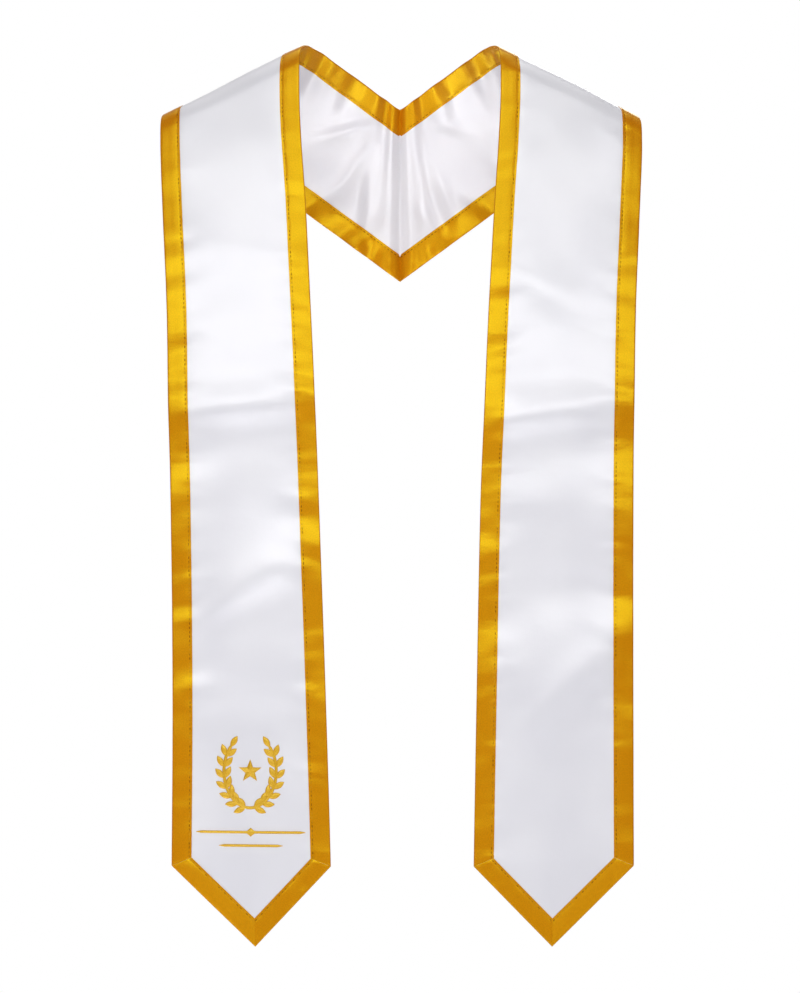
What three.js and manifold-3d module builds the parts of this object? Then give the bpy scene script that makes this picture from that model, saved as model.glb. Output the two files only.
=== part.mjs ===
// A graduation stole, in the shape that it keeps when it is worn: two satin bands that meet in a
// point at the centre back, cross the shoulders and hang down the chest to pointed hems. Ribbon
// is folded over every edge, and an embroidered wreath decorates the wearer's right band.
// Millimetres, +Z up, the front faces -Y and the wearer's left is +X. The origin is in the middle
// of the neck, at the height of the neck ends of the two shoulder lines.
//
// Each band is cut flat and draped without stretching. A place in the flat cut is u and v: u runs
// across the band, towards the arm, and v along it, down the chest, with v below 0 on the back.

import * as THREE from "three";
import { mergeVertices } from "three/addons/utils/BufferGeometryUtils.js";
import Module from "manifold-3d";

const wasm = await Module();
wasm.setup();

const degree = Math.PI / 180;

// Where the bands lie on the wearer
const neckWidth = 158.2;
const shoulderSlope = 26.6 * degree;
const bandLean = 27 * degree;
const frontDrop = 744.2;
const chestReach = 320;
const backReach = 230;
const chestTurn = 9;

// The bands
const bandWidth = 120;
const hemPoint = 66;
const panelWall = 1.2;

// The ribbon over their edges
const ribbonWall = 1;
const ribbonFace = 16.5;
const ribbonLining = 18.5;

// Between pieces: a layer of air under the ribbon, and the slit where two ribbons or bands join
const clearance = 0.3;
const jointGap = 0.3;

// How high the folds, the gathers and the centre back seam stand
const foldHeight = 2;
const gatherHeight = 1.6;

// The embroidery
const threadHeight = 1.1;
const wreathWidth = 43;
const wreathHeight = 60;
const wreathRise = 78;
const stemWidth = 2.6;
const leafLength = 11;
const leafWidth = 5;
const starRadius = 10;
const ruleWidth = 2.2;
const diamondWidth = 9;
const diamondHeight = 7.5;
const ruleRise = 28;
const shortRuleRise = 17;

// The satin left bare between an end of each rule and the ribbon
const ruleMargin = 3.5;
const shortRuleMargin = 22.5;

// How steeply the cloth falls in front of the shoulder line. Each row ends an arc: along is a
// share of chestReach, and fall the angle below level there, in degrees.
const chestFall = [
  { along: 0, fall: 0 },
  { along: 0.031, fall: 45 },
  { along: 0.069, fall: 66 },
  { along: 0.1875, fall: 74 },
  { along: 0.406, fall: 80 },
  { along: 0.6875, fall: 87 },
  { along: 1, fall: 90 },
];

// The same behind it, as shares of backReach
const backFall = [
  { along: 0, fall: 0 },
  { along: 0.0435, fall: 35 },
  { along: 0.109, fall: 48 },
  { along: 0.261, fall: 54 },
  { along: 0.435, fall: 62 },
  { along: 0.652, fall: 74 },
  { along: 1, fall: 82 },
];

// The two edges of a band behind the shoulder: back is the distance behind v = 0, and neck and
// arm are the u of each edge, all as shares of bandWidth.
const backEdges = [
  { back: 2, neck: -0.445, arm: 0.537 },
  { back: 1.2, neck: -0.444, arm: 0.538 },
  { back: 0.8, neck: -0.4565, arm: 0.533 },
  { back: 0.4, neck: -0.478, arm: 0.523 },
];

// The edges in front: along is a share of frontDrop, and neck and arm are shares of bandWidth.
const leftEdges = [
  { along: 0, neck: -0.485, arm: 0.51 },
  { along: 0.06, neck: -0.505, arm: 0.495 },
  { along: 0.15, neck: -0.551, arm: 0.458 },
  { along: 0.262, neck: -0.5975, arm: 0.415 },
  { along: 0.374, neck: -0.634, arm: 0.395 },
  { along: 0.484, neck: -0.6665, arm: 0.3825 },
  { along: 0.705, neck: -0.7035, arm: 0.373 },
  { along: 0.9, neck: -0.7325, arm: 0.368 },
  { along: 1, neck: -0.745, arm: 0.366 },
];
const rightEdges = [
  { along: 0, neck: -0.485, arm: 0.503 },
  { along: 0.06, neck: -0.505, arm: 0.4775 },
  { along: 0.15, neck: -0.551, arm: 0.441 },
  { along: 0.262, neck: -0.594, arm: 0.397 },
  { along: 0.374, neck: -0.631, arm: 0.378 },
  { along: 0.484, neck: -0.6625, arm: 0.355 },
  { along: 0.705, neck: -0.72, arm: 0.332 },
  { along: 0.9, neck: -0.764, arm: 0.331 },
  { along: 1, neck: -0.778, arm: 0.331 },
];

// Soft folds of the hanging fronts. along is the v of a fold's middle as a share of frontDrop,
// across its u as a share of bandWidth, turn its angle from square to the band in degrees,
// length and width how far it fades out as shares of bandWidth, and height a share of foldHeight.
const leftFolds = [
  { along: 0.245, across: -0.25, turn: 35, length: 0.35, width: 0.16, height: 0.45 },
  { along: 0.382, across: -0.12, turn: -7, length: 0.5, width: 0.14, height: 0.8 },
  { along: 0.43, across: -0.05, turn: -4, length: 0.45, width: 0.16, height: -0.55 },
  { along: 0.485, across: -0.32, turn: 8, length: 0.3, width: 0.16, height: 0.35 },
  { along: 0.58, across: -0.1, turn: -20, length: 0.4, width: 0.2, height: -0.35 },
  { along: 0.7, across: -0.3, turn: 24, length: 0.4, width: 0.2, height: 0.4 },
];
const rightFolds = [
  { along: 0.2, across: -0.1, turn: -30, length: 0.35, width: 0.17, height: 0.35 },
  { along: 0.377, across: -0.12, turn: 4, length: 0.5, width: 0.14, height: 0.8 },
  { along: 0.415, across: 0.05, turn: 0, length: 0.4, width: 0.15, height: -0.55 },
  { along: 0.555, across: -0.4, turn: -60, length: 0.35, width: 0.16, height: 0.45 },
  { along: 0.62, across: -0.05, turn: 14, length: 0.4, width: 0.2, height: -0.35 },
  { along: 0.74, across: -0.35, turn: -22, length: 0.4, width: 0.2, height: 0.35 },
];

// Gathers that fan out from the centre back seam. fan is the tangent of a gather's angle at the
// point that they spread from, and lift its height as a share of gatherHeight.
const gathers = [
  { fan: 0, lift: 1 },
  { fan: 0.02, lift: -0.1 },
  { fan: 0.05, lift: -0.7 },
  { fan: 0.1, lift: 0.6 },
  { fan: 0.165, lift: -0.45 },
  { fan: 0.25, lift: 0.25 },
  { fan: 0.36, lift: 0 },
];
const fanRise = 0.53;

// The two sides: sign is the side of the body, and tip where the hem's point is between its
// neck and arm corners, as a share of the hem.
const sides = {
  left: { sign: 1, tip: 0.485, edges: leftEdges, folds: leftFolds },
  right: { sign: -1, tip: 0.47, edges: rightEdges, folds: rightFolds },
};

// How finely the solids follow the cloth
const chestSteps = 30;
const chestCrowding = 1.55;
const backSteps = 12;
const backCrowding = 1.4;
const seamSteps = [0, 0.02, 0.06, 0.12];
const columnCells = 5;
const hemShares = [0.35, 0.7, 0.96];
const hemTrimShares = [0.35, 0.7];
const halvings = 40;
const reachInBands = 3;

const satin = new THREE.MeshStandardMaterial({ color: 0xeeedf2, roughness: 0.4, metalness: 0 });
const ribbon = new THREE.MeshStandardMaterial({ color: 0xe3a612, roughness: 0.35, metalness: 0.1 });
const thread = new THREE.MeshStandardMaterial({ color: 0xe0b02c, roughness: 0.5, metalness: 0.1 });

// Reads a column of a table at a place, on a smooth curve through its rows. The slope at a row is
// that of the line between its two neighbours.
function readTable(rows, column, place) {
  const last = rows.length - 1;
  const slope = (index) => {
    const before = rows[Math.max(index - 1, 0)];
    const after = rows[Math.min(index + 1, last)];
    return (after[column] - before[column]) / (after.at - before.at);
  };
  const next = rows.findIndex((row) => row.at > place);
  if (next === 0) return rows[0][column];
  if (next === -1) return rows[last][column];
  const from = rows[next - 1];
  const to = rows[next];
  const span = to.at - from.at;
  const t = (place - from.at) / span;
  const start = from[column] * (1 + 2 * t) * (1 - t) ** 2;
  const end = to[column] * (3 - 2 * t) * t ** 2;
  const startSlope = slope(next - 1) * span * t * (1 - t) ** 2;
  const endSlope = slope(next) * span * (t - 1) * t ** 2;
  return start + end + startSlope + endSlope;
}

// Finds by halving where a rising function of v passes a value.
function solve(rising, value, low, high) {
  let below = low;
  let above = high;
  for (let step = 0; step < halvings; step += 1) {
    const middle = (below + above) / 2;
    if (rising(middle) < value) below = middle;
    else above = middle;
  }
  return (below + above) / 2;
}

// Rises smoothly from 0 to 1.
function ease(share) {
  const t = Math.min(Math.max(share, 0), 1);
  return t * t * (3 - 2 * t);
}

// Follows a chain of arcs for a distance. out and drop are how far it has come level and down,
// and fall is its angle below level.
function followArcs(rows, reach, distance) {
  const end = { out: 0, drop: 0, fall: 0 };
  rows.forEach((row, index) => {
    const next = rows[index + 1] ?? { along: Infinity, fall: row.fall };
    const whole = (next.along - row.along) * reach;
    const length = Math.min(Math.max(distance - row.along * reach, 0), whole);
    if (length === 0) return;
    const start = row.fall * degree;
    const bend = next === rows[index + 1] ? ((next.fall - row.fall) * degree * length) / whole : 0;
    const chord = bend === 0 ? length : (length * Math.sin(bend / 2)) / (bend / 2);
    end.out += chord * Math.cos(start + bend / 2);
    end.drop += chord * Math.sin(start + bend / 2);
    end.fall = start + bend;
  });
  return end;
}

// The edge tables of a side in millimetres, from the back to the hem.
function edgeRows(side) {
  const row = (at, { neck, arm }) => ({ at, neck: neck * bandWidth, arm: arm * bandWidth });
  const back = backEdges.map((edge) => row(-edge.back * bandWidth, edge));
  const front = side.edges.map((edge) => row(edge.along * frontDrop, edge));
  return [...back, ...front];
}
for (const side of Object.values(sides)) side.rows = edgeRows(side);

const neckEdge = (side, v) => readTable(side.rows, "neck", v);
const armEdge = (side, v) => readTable(side.rows, "arm", v);

// The shoulder line starts where the neck edge crosses it, so this puts that crossing at 0.
const shoulderMiddle = (-leftEdges[0].neck * bandWidth) / Math.cos(bandLean);

// The soft folds at a place in the flat cut: each is a bell with an oval foot.
function foldLift(side, u, v) {
  return side.folds.reduce((sum, fold) => {
    const across = u - fold.across * bandWidth;
    const along = v - fold.along * frontDrop;
    const turn = fold.turn * degree;
    const onLength = across * Math.cos(turn) + along * Math.sin(turn);
    const onWidth = along * Math.cos(turn) - across * Math.sin(turn);
    const length = onLength / (fold.length * bandWidth);
    const width = onWidth / (fold.width * bandWidth);
    return sum + fold.height * foldHeight * Math.exp(-(length ** 2) - width ** 2);
  }, 0);
}

// The gathers at a place on the back, x from the centre and z above the origin.
const gatherRows = gathers.map(({ fan, lift }) => ({ at: fan, lift: lift * gatherHeight }));
function gatherLift(x, z) {
  const below = fanRise * bandWidth - z;
  return readTable(gatherRows, "lift", Math.abs(x) / below);
}

// Puts a place of the flat cut onto the body, lifted off the cloth's middle towards its face. The
// cloth bends round lines that run along the shoulder line, so it keeps its cut size.
function drape(side, u, v, lift) {
  const onShoulder = shoulderMiddle + u * Math.cos(bandLean) + v * Math.sin(bandLean);
  const offShoulder = v * Math.cos(bandLean) - u * Math.sin(bandLean);
  const front = offShoulder > 0;
  const { out, drop, fall } = front
    ? followArcs(chestFall, chestReach, offShoulder)
    : followArcs(backFall, backReach, -offShoulder);
  const facing = front ? -1 : 1;
  const x = neckWidth / 2 + onShoulder * Math.cos(shoulderSlope) - drop * Math.sin(shoulderSlope);
  const z = -onShoulder * Math.sin(shoulderSlope) - drop * Math.cos(shoulderSlope);
  const across = (u - neckEdge(side, v)) / bandWidth;
  const turn = chestTurn * ease(v / chestReach) * across * Math.abs(across);
  const relief = front ? foldLift(side, u, v) : gatherLift(x, z);
  const rise = lift + relief;
  const up = Math.cos(fall) * rise;
  return new THREE.Vector3(
    side.sign * (x + up * Math.sin(shoulderSlope)),
    facing * (out + Math.sin(fall) * rise) + turn,
    z + up * Math.cos(shoulderSlope),
  );
}

// The three lines where a column of points crosses the centre back seam, the shoulder line and
// the level of the hem's corners. A column is the u of its points as a function of v.
const hemLevel = frontDrop - hemPoint;
function columnLines(side, column) {
  const reach = reachInBands * bandWidth;
  const toArm = (v) => side.sign * drape(side, column(v), v, 0).x;
  const ahead = (v) => v * Math.cos(bandLean) - column(v) * Math.sin(bandLean);
  const depth = (v) => -drape(side, column(v), v, 0).z;
  return {
    seam: solve(toArm, 0, -reach, 0),
    shoulder: solve(ahead, 0, -bandWidth, bandWidth),
    hem: solve(depth, hemLevel, bandWidth, frontDrop + bandWidth),
  };
}

// The stations along a band: share -1 is the centre back seam, 0 the shoulder line, 1 the hem.
function stationShares() {
  const crowd = (steps, power) =>
    Array.from({ length: steps }, (_, index) => ((index + 1) / steps) ** power);
  const back = crowd(backSteps, backCrowding).filter((share) => share < 1 - seamSteps.at(-1));
  const seam = seamSteps.map((share) => share - 1);
  const behind = back.map((share) => -share).reverse();
  return [...seam, ...behind, 0, ...crowd(chestSteps, chestCrowding)];
}
const stations = stationShares();

function alongAt(lines, share) {
  const end = share < 0 ? lines.seam : lines.hem;
  return lines.shoulder + (end - lines.shoulder) * Math.abs(share);
}

// A point on the centre back seam lies half a slit from the middle.
function closeSeam(side, share, point) {
  if (share === -1) point.x = (side.sign * jointGap) / 2;
  return point;
}

// Joins a row of sections into a closed body. A section is a strip seen end on, as pairs of
// points on its two faces.
function loft(sections) {
  const size = sections[0].length;
  const loops = sections.map((pairs) => [
    ...pairs.map((pair) => pair[0]),
    ...pairs.map((pair) => pair[1]).reverse(),
  ]);
  const count = loops[0].length;
  const index = [];
  const quad = (a, b, c, d) => index.push(a, b, c, a, c, d);
  for (let row = 0; row + 1 < loops.length; row += 1) {
    for (let point = 0; point < count; point += 1) {
      const next = (point + 1) % count;
      const here = row * count;
      const there = here + count;
      quad(here + point, here + next, there + next, there + point);
    }
  }
  const end = (loops.length - 1) * count;
  for (let point = 0; point + 1 < size; point += 1) {
    const back = count - 1 - point;
    quad(point, back, back - 1, point + 1);
    quad(end + point, end + point + 1, end + back - 1, end + back);
  }
  const geometry = new THREE.BufferGeometry().setFromPoints(loops.flat());
  geometry.setIndex(index);
  return faceOutward(geometry);
}

// Turns every face round if the body is inside out.
function faceOutward(geometry) {
  const { position } = geometry.attributes;
  const index = geometry.index.array;
  const corner = (at) => new THREE.Vector3().fromBufferAttribute(position, index[at]);
  let volume = 0;
  for (let at = 0; at < index.length; at += 3) {
    volume += corner(at).dot(corner(at + 1).cross(corner(at + 2)));
  }
  if (volume < 0) {
    for (let at = 0; at < index.length; at += 3) {
      [index[at], index[at + 1]] = [index[at + 1], index[at]];
    }
  }
  geometry.computeVertexNormals();
  return geometry;
}

// The corners of a side's hem in the flat cut, and the inward direction at each that keeps an
// equal distance from the two edges that meet there.
function hemCorners(side) {
  const lines = (edge) => columnLines(side, (v) => edge(side, v));
  const neckV = lines(neckEdge).hem;
  const armV = lines(armEdge).hem;
  const neck = new THREE.Vector2(neckEdge(side, neckV), neckV);
  const arm = new THREE.Vector2(armEdge(side, armV), armV);
  const tip = neck.clone().lerp(arm, side.tip);
  const depth = (v) => -drape(side, tip.x, v, 0).z;
  tip.y = solve(depth, frontDrop, bandWidth, frontDrop + bandWidth);
  const inward = (from, to) => {
    const step = to.clone().sub(from).normalize();
    return new THREE.Vector2(step.y, -step.x);
  };
  const neckSide = new THREE.Vector2(1, 0);
  const armSide = new THREE.Vector2(-1, 0);
  const neckHem = inward(neck, tip);
  const armHem = inward(tip, arm);
  const mitre = (one, other) => one.clone().add(other).divideScalar(1 + one.dot(other));
  return {
    neck: { at: neck, mitre: mitre(neckSide, neckHem) },
    tip: { at: tip, mitre: mitre(neckHem, armHem) },
    arm: { at: arm, mitre: mitre(armHem, armSide) },
    neckHem,
    armHem,
  };
}
for (const side of Object.values(sides)) side.hem = hemCorners(side);

// One satin band. It runs under the ribbon, and stops short of the ribbon's fold by its inset.
const panelInset = ribbonWall + 2 * clearance;
function panel(side) {
  const inner = (share) => (v) => {
    const from = neckEdge(side, v) + ribbonLining;
    return from + (armEdge(side, v) - ribbonLining - from) * share;
  };
  const columns = [
    (v) => neckEdge(side, v) + panelInset,
    ...Array.from({ length: columnCells + 1 }, (_, cell) => inner(cell / columnCells)),
    (v) => armEdge(side, v) - panelInset,
  ];
  const pair = (u, v) => [drape(side, u, v, panelWall / 2), drape(side, u, v, -panelWall / 2)];
  const cut = side.hem.neck.mitre.y * panelInset;
  const grid = columns.map((column) => {
    const lines = columnLines(side, column);
    return { column, lines: { ...lines, hem: lines.hem + cut } };
  });
  const sections = stations.map((share) =>
    grid.map(({ column, lines }) => {
      const v = alongAt(lines, share);
      return pair(column(v), v).map((point) => closeSeam(side, share, point));
    }),
  );
  const tip = side.hem.tip.at.clone().addScaledVector(side.hem.tip.mitre, panelInset);
  for (const share of hemShares) {
    sections.push(
      grid.map(({ column, lines }) => {
        const place = new THREE.Vector2(column(lines.hem), lines.hem).lerp(tip, share);
        return pair(place.x, place.y);
      }),
    );
  }
  return loft(sections);
}

// The ribbon seen end on, from its edge on the face, round the fold, to its edge on the lining.
// Each pair has the outside and the inside: depth from the band's edge, and lift off its middle.
const ribbonInside = panelWall / 2 + clearance;
const ribbonOutside = ribbonInside + ribbonWall;
const ribbonSection = [
  [
    { depth: ribbonFace, lift: ribbonOutside },
    { depth: ribbonFace, lift: ribbonInside },
  ],
  [
    { depth: ribbonWall / 2, lift: ribbonOutside },
    { depth: ribbonWall + clearance, lift: ribbonInside },
  ],
  [
    { depth: 0, lift: 0 },
    { depth: ribbonWall, lift: 0 },
  ],
  [
    { depth: ribbonWall / 2, lift: -ribbonOutside },
    { depth: ribbonWall + clearance, lift: -ribbonInside },
  ],
  [
    { depth: ribbonLining, lift: -ribbonOutside },
    { depth: ribbonLining, lift: -ribbonInside },
  ],
];

// The ribbon on one long edge, from the centre back to its mitre at the hem's corner. Towards the
// arm the section is turned round, so that its facets lie along the band's.
function sideTrim(side, onNeck) {
  const edge = onNeck ? neckEdge : armEdge;
  const inward = onNeck ? 1 : -1;
  const corner = onNeck ? side.hem.neck : side.hem.arm;
  const section = onNeck ? ribbonSection : [...ribbonSection].reverse();
  const strands = section.map((points) =>
    points.map(({ depth, lift }) => {
      const column = (v) => edge(side, v) + inward * depth;
      return { column, depth, lift, lines: columnLines(side, column) };
    }),
  );
  const hemEnd = ({ depth }) => corner.at.y + corner.mitre.y * depth - jointGap / 2;
  return loft(
    stations.map((share) =>
      strands.map((points) =>
        points.map((strand) => {
          const v = share === 1 ? hemEnd(strand) : alongAt(strand.lines, share);
          const point = drape(side, strand.column(v), v, strand.lift);
          return closeSeam(side, share, point);
        }),
      ),
    ),
  );
}

// The ribbon along a pointed hem, from corner to corner, mitred at its ends and its tip.
function hemTrim(side) {
  const { neck, tip, arm, neckHem, armHem } = side.hem;
  const shift = (corner, target) => {
    const step = target.at.clone().sub(corner.at).normalize();
    return corner.at.clone().addScaledVector(step, jointGap / 2);
  };
  const between = (from, to, inward) => (share) => ({
    at: from.at.clone().lerp(to.at, share),
    inward,
  });
  const rows = [
    { at: shift(neck, tip), inward: neck.mitre },
    ...hemTrimShares.map(between(neck, tip, neckHem)),
    { at: tip.at, inward: tip.mitre },
    ...hemTrimShares.map((share) => 1 - share).reverse().map(between(tip, arm, armHem)),
    { at: shift(arm, tip), inward: arm.mitre },
  ];
  return loft(
    rows.map(({ at, inward }) =>
      ribbonSection.map((points) =>
        points.map(({ depth, lift }) => {
          const place = at.clone().addScaledVector(inward, depth);
          return drape(side, place.x, place.y, lift);
        }),
      ),
    ),
  );
}

// Raises a flat outline by the height of the thread.
function raise(shape, curveSegments) {
  const extrusion = { depth: threadHeight, bevelEnabled: false, curveSegments };
  return new THREE.ExtrudeGeometry(shape, extrusion);
}

// Fuses overlapping shapes into one body.
function fuse(geometries) {
  const solids = geometries.map((geometry) => {
    const bare = geometry.clone();
    bare.deleteAttribute("normal");
    bare.deleteAttribute("uv");
    const merged = mergeVertices(bare);
    return new wasm.Manifold(
      new wasm.Mesh({
        numProp: 3,
        vertProperties: merged.attributes.position.array,
        triVerts: new Uint32Array(merged.index.array),
      }),
    );
  });
  const mesh = solids.reduce((sum, solid) => sum.add(solid)).getMesh();
  const geometry = new THREE.BufferGeometry();
  geometry.setAttribute("position", new THREE.BufferAttribute(mesh.vertProperties, mesh.numProp));
  geometry.setIndex(new THREE.BufferAttribute(mesh.triVerts, 1));
  return geometry;
}

// The v of a height above the hem's corners.
const aboveHem = (side, rise) => (side.hem.neck.at.y + side.hem.arm.at.y) / 2 - rise;

// The width of the bare satin between a band's ribbons, at a height above the hem's corners.
function bareWidth(side, rise) {
  const v = aboveHem(side, rise);
  return armEdge(side, v) - neckEdge(side, v) - 2 * ribbonFace;
}

// Lays flat embroidery on a side's band, in the middle of its width. Its y is up the band, and
// rise is the height of its origin above the hem's corners.
function embroider(side, flat, rise) {
  const geometry = flat.clone();
  const { position } = geometry.attributes;
  const middleV = aboveHem(side, rise);
  const middleU = (neckEdge(side, middleV) + armEdge(side, middleV)) / 2;
  const base = panelWall / 2 + clearance;
  for (let point = 0; point < position.count; point += 1) {
    const local = new THREE.Vector3().fromBufferAttribute(position, point);
    const placed = drape(side, middleU + local.x, middleV - local.y, base + local.z);
    position.setXYZ(point, placed.x, placed.y, placed.z);
  }
  return faceOutward(geometry);
}

// A leaf with a point at each end, from the origin along +x.
function leaf() {
  const shape = new THREE.Shape();
  shape.moveTo(0, 0);
  shape.quadraticCurveTo(leafLength / 2, leafWidth, leafLength, 0);
  shape.quadraticCurveTo(leafLength / 2, -leafWidth, 0, 0);
  return raise(shape, leafSegments);
}

// Two curved stems on an oval, which start together at the bottom and stay open at the top, with
// a pair of leaves at each step and one leaf at the end.
const leafSegments = 3;
const stemSegments = 14;
const leafSteps = 7;
const stemTurn = 140 * degree;
const firstLeaf = 0.1;
const lastLeaf = 0.97;
const leafSplay = 36 * degree;
const stemOverlap = 5 * degree;
function wreath() {
  const wide = wreathWidth / 2;
  const high = wreathHeight / 2;
  const edge = stemWidth / 2;
  const pieces = [];
  for (const hand of [1, -1]) {
    const start = -Math.PI / 2 - hand * stemOverlap;
    const turn = hand * stemTurn;
    const stem = new THREE.Shape();
    stem.absellipse(0, 0, wide + edge, high + edge, start, start + turn, hand < 0);
    stem.absellipse(0, 0, wide - edge, high - edge, start + turn, start, hand > 0);
    pieces.push(raise(stem, stemSegments));
    for (let step = 0; step <= leafSteps; step += 1) {
      const angle = start + turn * (firstLeaf + ((lastLeaf - firstLeaf) * step) / leafSteps);
      const foot = new THREE.Vector2(wide * Math.cos(angle), high * Math.sin(angle));
      const heading = Math.atan2(high * Math.cos(angle), -wide * Math.sin(angle));
      const onward = heading + (hand < 0 ? Math.PI : 0);
      const splays = step === leafSteps ? [0] : [leafSplay, -leafSplay];
      for (const splay of splays) {
        pieces.push(leaf().rotateZ(onward + splay).translate(foot.x, foot.y, 0));
      }
    }
  }
  return fuse(pieces);
}

// A star with its top point upwards.
const starPoints = 5;
const starWaist = 0.42;
function star() {
  const shape = new THREE.Shape();
  for (let corner = 0; corner < 2 * starPoints; corner += 1) {
    const angle = Math.PI / 2 + (corner * Math.PI) / starPoints;
    const radius = corner % 2 === 0 ? starRadius : starRadius * starWaist;
    const x = radius * Math.cos(angle);
    const y = radius * Math.sin(angle);
    if (corner === 0) shape.moveTo(x, y);
    else shape.lineTo(x, y);
  }
  return fuse([raise(shape, 1)]);
}

// A thin line with narrow ends, and a diamond in its middle where diamond is above 0. It has
// stops along its length so that it bends with the band.
const ruleSteps = 5;
const ruleEnd = 0.2;
function rule(length, diamond) {
  const edge = ruleWidth / 2;
  const far = length / 2 - 2 * ruleWidth;
  const peak = diamond > 0 ? diamondHeight / 2 : edge;
  const foot = diamond > 0 ? (diamond / 2) * (1 - edge / peak) : edge;
  const half = [{ x: 0, y: peak }];
  for (let step = 0; step <= ruleSteps; step += 1) {
    half.push({ x: foot + ((far - foot) * step) / ruleSteps, y: edge });
  }
  half.push({ x: length / 2, y: edge * ruleEnd });
  const mirrored = half.slice(1).reverse().map(({ x, y }) => ({ x: -x, y }));
  const corner = (x, y) => [new THREE.Vector3(x, y, threadHeight), new THREE.Vector3(x, y, 0)];
  return loft([...mirrored, ...half].map(({ x, y }) => [corner(x, y), corner(x, -y)]));
}

function part(name, geometry, material) {
  const mesh = new THREE.Mesh(geometry, material);
  mesh.name = name;
  return mesh;
}

const stole = new THREE.Group();
for (const [name, side] of Object.entries(sides)) {
  stole.add(part(`${name}_panel`, panel(side), satin));
  stole.add(part(`${name}_neck_trim`, sideTrim(side, true), ribbon));
  stole.add(part(`${name}_outer_trim`, sideTrim(side, false), ribbon));
  stole.add(part(`${name}_hem_trim`, hemTrim(side), ribbon));
}
const { right } = sides;
stole.add(part("emblem_wreath", embroider(right, wreath(), wreathRise), thread));
stole.add(part("emblem_star", embroider(right, star(), wreathRise), thread));
const ruleLength = bareWidth(right, ruleRise) - 2 * ruleMargin;
const longRule = embroider(right, rule(ruleLength, diamondWidth), ruleRise);
stole.add(part("emblem_rule", longRule, thread));
const shortRuleLength = bareWidth(right, shortRuleRise) - 2 * shortRuleMargin;
const shortRule = embroider(right, rule(shortRuleLength, 0), shortRuleRise);
stole.add(part("emblem_short_rule", shortRule, thread));

export default stole;
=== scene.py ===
"""The looks of a graduation stole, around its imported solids.

Two white satin bands hang in the shape that they keep when worn, with gold satin ribbon folded
over every edge, rows of lockstitch along the ribbon, and a satin stitch wreath, star and two
rules on the wearer's right band. Metres, +Z up, the front faces -Y, the wearer's left is +X.
A place in the flat cut of a band is u, across it towards the arm, and v, along it down the chest.
"""

import math

import bpy
import numpy as np
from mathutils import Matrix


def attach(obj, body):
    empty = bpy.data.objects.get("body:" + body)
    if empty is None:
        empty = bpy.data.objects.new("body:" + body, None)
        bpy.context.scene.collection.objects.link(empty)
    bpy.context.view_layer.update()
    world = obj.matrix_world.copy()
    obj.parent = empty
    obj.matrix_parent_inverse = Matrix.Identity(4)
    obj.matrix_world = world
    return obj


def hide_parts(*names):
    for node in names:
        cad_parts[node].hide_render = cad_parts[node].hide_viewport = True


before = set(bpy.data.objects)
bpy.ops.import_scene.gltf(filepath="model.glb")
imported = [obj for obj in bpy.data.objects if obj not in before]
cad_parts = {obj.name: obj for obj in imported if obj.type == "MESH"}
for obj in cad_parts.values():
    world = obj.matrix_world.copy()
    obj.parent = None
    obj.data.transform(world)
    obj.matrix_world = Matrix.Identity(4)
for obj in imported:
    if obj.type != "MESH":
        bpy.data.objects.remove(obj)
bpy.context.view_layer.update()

MM = 0.001
DEGREE = math.pi / 180

# Where the bands lie on the wearer, as in the solids
NECK_WIDTH = 158.2 * MM
SHOULDER_SLOPE = 26.6 * DEGREE
BAND_LEAN = 27 * DEGREE
FRONT_DROP = 744.2 * MM
CHEST_REACH = 320 * MM
BACK_REACH = 230 * MM
CHEST_TURN = 9 * MM

# The bands and the ribbon over their edges
BAND_WIDTH = 120 * MM
HEM_POINT = 66 * MM
PANEL_WALL = 1.2 * MM
PINCHED_WALL = 0.8 * MM
PINCH_REACH = 5 * MM
RIBBON_WALL = 0.35 * MM
RIBBON_FACE = 16.5 * MM
RIBBON_LINING = 18.5 * MM
RIBBON_PUFF = 0.13 * MM
RIBBON_LIFT = 0.1 * MM
RIBBON_NOSE = 1.1 * MM
CLEARANCE = 0.05 * MM
RIBBON_STAND = PINCHED_WALL / 2 + CLEARANCE + RIBBON_WALL
PANEL_INSET = 1.6 * MM
MITRE_GAP = 0.12 * MM
MITRE_DIP = 0.35 * MM
MITRE_REACH = 1.6 * MM

# Where the tip of each hem is, as a share of the way from its corner at the neck to the other
LEFT_TIP = 0.485
RIGHT_TIP = 0.47

# Folds, gathers and the slighter unevenness of sewn satin. A slope is the steepest tilt that one
# wave gives the cloth.
FOLD_HEIGHT = 3.6 * MM
CREASE_HEIGHT = 0.9 * MM
CREASE_ROUNDING = 0.18
GATHER_HEIGHT = 1.8 * MM
FAN_RISE = 0.53
TILT_SHARE = 0.75
SWELL_STEP = 2 * MM
SWELL_WINDOW = 110 * MM
SWELL_START = 30 * MM
SWELL_FADE = 20 * MM
SWELL_SLANT = 0.3
EDGE_WAVES = 6
EDGE_WAVE_SHORTEST = 18 * MM
EDGE_WAVE_LONGEST = 46 * MM
FRONT_WAVE_SLOPE = 0.015
BACK_WAVE_SLOPE = 0.062
WAVE_CALM = 24 * MM
WANDER_WAVES = 14
WANDER_SHORTEST = 36 * MM
WANDER_LONGEST = 160 * MM
WANDER_SLOPE = 0.008
WANDER_TURN = 70
CREST_CALM = 7 * MM
SEAM_CALM = 30 * MM
SEAM_ROLL = 0.9 * MM
SEAM_ROLL_REACH = 1.5 * MM
SEAM_ROLL_FADE = 4

# The grid of a band: rows in front of the shoulder line, behind it and close to the back seam,
# rows of the hem's point, how the rows crowd, columns across, and how often solve halves
FRONT_ROWS = 370
BACK_ROWS = 76
SEAM_ROWS = 14
SEAM_ZONE = 0.95
HEM_ROWS = 26
HEM_RIBBON_ROWS = 54
CREST_CROWDING = 1.22
SEAM_CROWDING = 1.8
PANEL_COLUMNS = 56
HALVINGS = 40

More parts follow.
